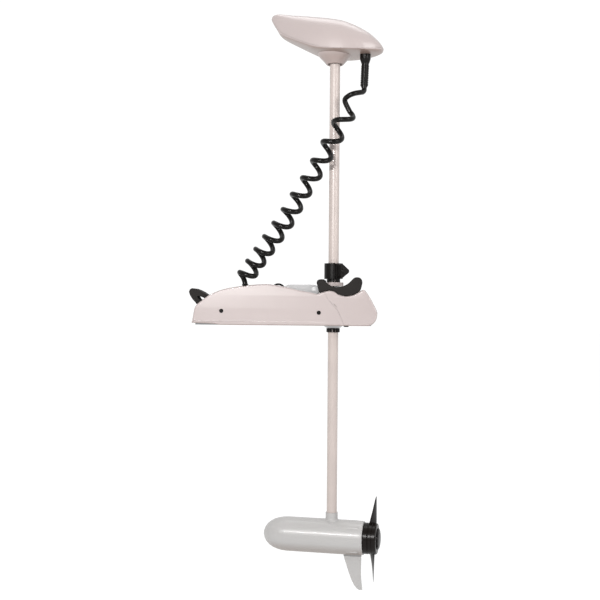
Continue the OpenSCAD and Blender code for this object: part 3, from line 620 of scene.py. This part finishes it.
def blade(turn):
    foil = rounded(FOIL, {0, 5, 6}, 0.04)
    rings = []
    for i in range(37):
        r = 36 + (TIP_R - 36) * math.sin(math.pi / 2 * i / 36)
        chord, thick, edge = (interp(BLADE[k], r) for k in ("chord", "thick", "edge"))
        p = math.radians(interp(BLADE["pitch"], r))
        ring = []
        for q0, q1 in foil:
            u, v = (q0 - 0.5) * chord, q1 * thick
            along = TRAILING_X - (r - 36) * 0.02 + u * math.sin(p) + v * math.cos(p)
            th = (edge + u * math.cos(p) - v * math.sin(p)) / r
            y, z = r * math.sin(th), r * math.cos(th)
            c, s = math.cos(-turn), math.sin(-turn)
            ring.append(motor_mm(along, y * c - z * s, y * s + z * c))
        rings.append(ring)
    return loft(rings)


def motor_mm(x, y, z):
    return motor((x * MM, y * MM, z * MM))


hub = lathe([(BELL_END + 0.9 + x, r) for x, r in HUB], 96, lambda p: motor_mm(*p))
piece("propeller_skin", *join_parts([hub] + [blade(math.radians(a)) for a in (12, 192)]), "prop_plastic",
      "propeller", ["propeller"], angle=32)

# ---------------------------------------------------------------- CAD pieces that stay
for node_name, obj in NODES.items():
    if not obj.hide_render:
        smooth_angle(obj, 28)
BEVELLED = {"depth_collar": 0.8, "collar_knob": 1.1, "slotted_ring": 0.4, "carriage": 1.5,
            "gearbox_housing": 1.2, "gearbox_lid": 1.0, "steering_hub": 0.8, "cord_strain_relief": 0.6,
            "cord_grommet": 0.7, "release_pedal": 2.0, "base_channel": 0.6, "motor_body": 0.4,
            "cover_screws": 0.4, "front_feet": 0.5}
for node_name, width in BEVELLED.items():
    mod = NODES[node_name].modifiers.new("bevel", "BEVEL")
    mod.width = width * MM
    mod.segments = 3
    mod.limit_method = "ANGLE"
    mod.angle_limit = math.radians(40)
    mod.harden_normals = False

# ---------------------------------------------------------------- stage and light
floor_mesh = bpy.data.meshes.new("floor")
FLOOR_Z = cad_box[0].z - 0.02
floor_mesh.from_pydata([(-30, -30, FLOOR_Z), (30, -30, FLOOR_Z), (30, 30, FLOOR_Z), (-30, 30, FLOOR_Z)], [],
                       [(0, 1, 2, 3)])
floor = bpy.data.objects.new("floor", floor_mesh)
bpy.context.scene.collection.objects.link(floor)
floor_mat = material("floor", (0.12, 0.12, 0.12), 0.9)
shader = floor_mat.node_tree.nodes["Principled BSDF"]
set_in(shader, "Specular IOR Level", 0.0)
set_in(shader, "Emission Color", (1, 1, 1, 1))
set_in(shader, "Emission Strength", 0.95)
floor_mesh.materials.append(floor_mat)

scene = bpy.context.scene
scene.view_settings.view_transform = "Standard"
scene.view_settings.look = "None"
world = bpy.data.worlds.new("world")
world.use_nodes = True
scene.world = world
wt = world.node_tree
bg = wt.nodes["Background"]
# white backdrop behind and above, darker room on the side of the camera
direction = wt.nodes.new("ShaderNodeTexCoord")
split = wt.nodes.new("ShaderNodeSeparateXYZ")
room = wt.nodes.new("ShaderNodeMapRange")
set_in(room, "From Min", -0.9)
set_in(room, "From Max", 0.15)
set_in(room, "To Min", 0.16)
set_in(room, "To Max", 0.85)
room.interpolation_type = "SMOOTHSTEP"
wt.links.new(direction.outputs["Generated"], split.inputs["Vector"])
wt.links.new(split.outputs["Y"], room.inputs["Value"])
wt.links.new(room.outputs["Result"], bg.inputs["Strength"])
set_in(bg, "Color", (1, 1, 1, 1))
bright = wt.nodes.new("ShaderNodeBackground")
set_in(bright, "Color", (1, 1, 1, 1))
set_in(bright, "Strength", 1.06)
path = wt.nodes.new("ShaderNodeLightPath")
mix = wt.nodes.new("ShaderNodeMixShader")
wt.links.new(path.outputs["Is Camera Ray"], mix.inputs["Fac"])
wt.links.new(bg.outputs["Background"], mix.inputs[1])
wt.links.new(bright.outputs["Background"], mix.inputs[2])
wt.links.new(mix.outputs["Shader"], wt.nodes["World Output"].inputs["Surface"])


def area_light(name, place, aim_at, size, power, color=(1, 1, 1)):
    data = bpy.data.lights.new(name, "AREA")
    data.shape = "RECTANGLE"
    data.size, data.size_y = size
    data.energy = power
    data.color = color
    obj = bpy.data.objects.new(name, data)
    obj.location = place
    obj.rotation_euler = (Vector(aim_at) - Vector(place)).to_track_quat("-Z", "Y").to_euler()
    bpy.context.scene.collection.objects.link(obj)


area_light("key", (-0.65, -2.7, 0.9), (0.15, 0, 0.05), (1.1, 0.07), 68, (1.0, 0.99, 0.98))
area_light("fill", (2.2, -1.8, 1.2), (0.15, 0, 0.0), (1.2, 1.6), 34, (1.0, 0.98, 0.965))
area_light("top", (0.2, 0.5, 2.8), (0.2, 0, 0), (2.0, 1.2), 22)
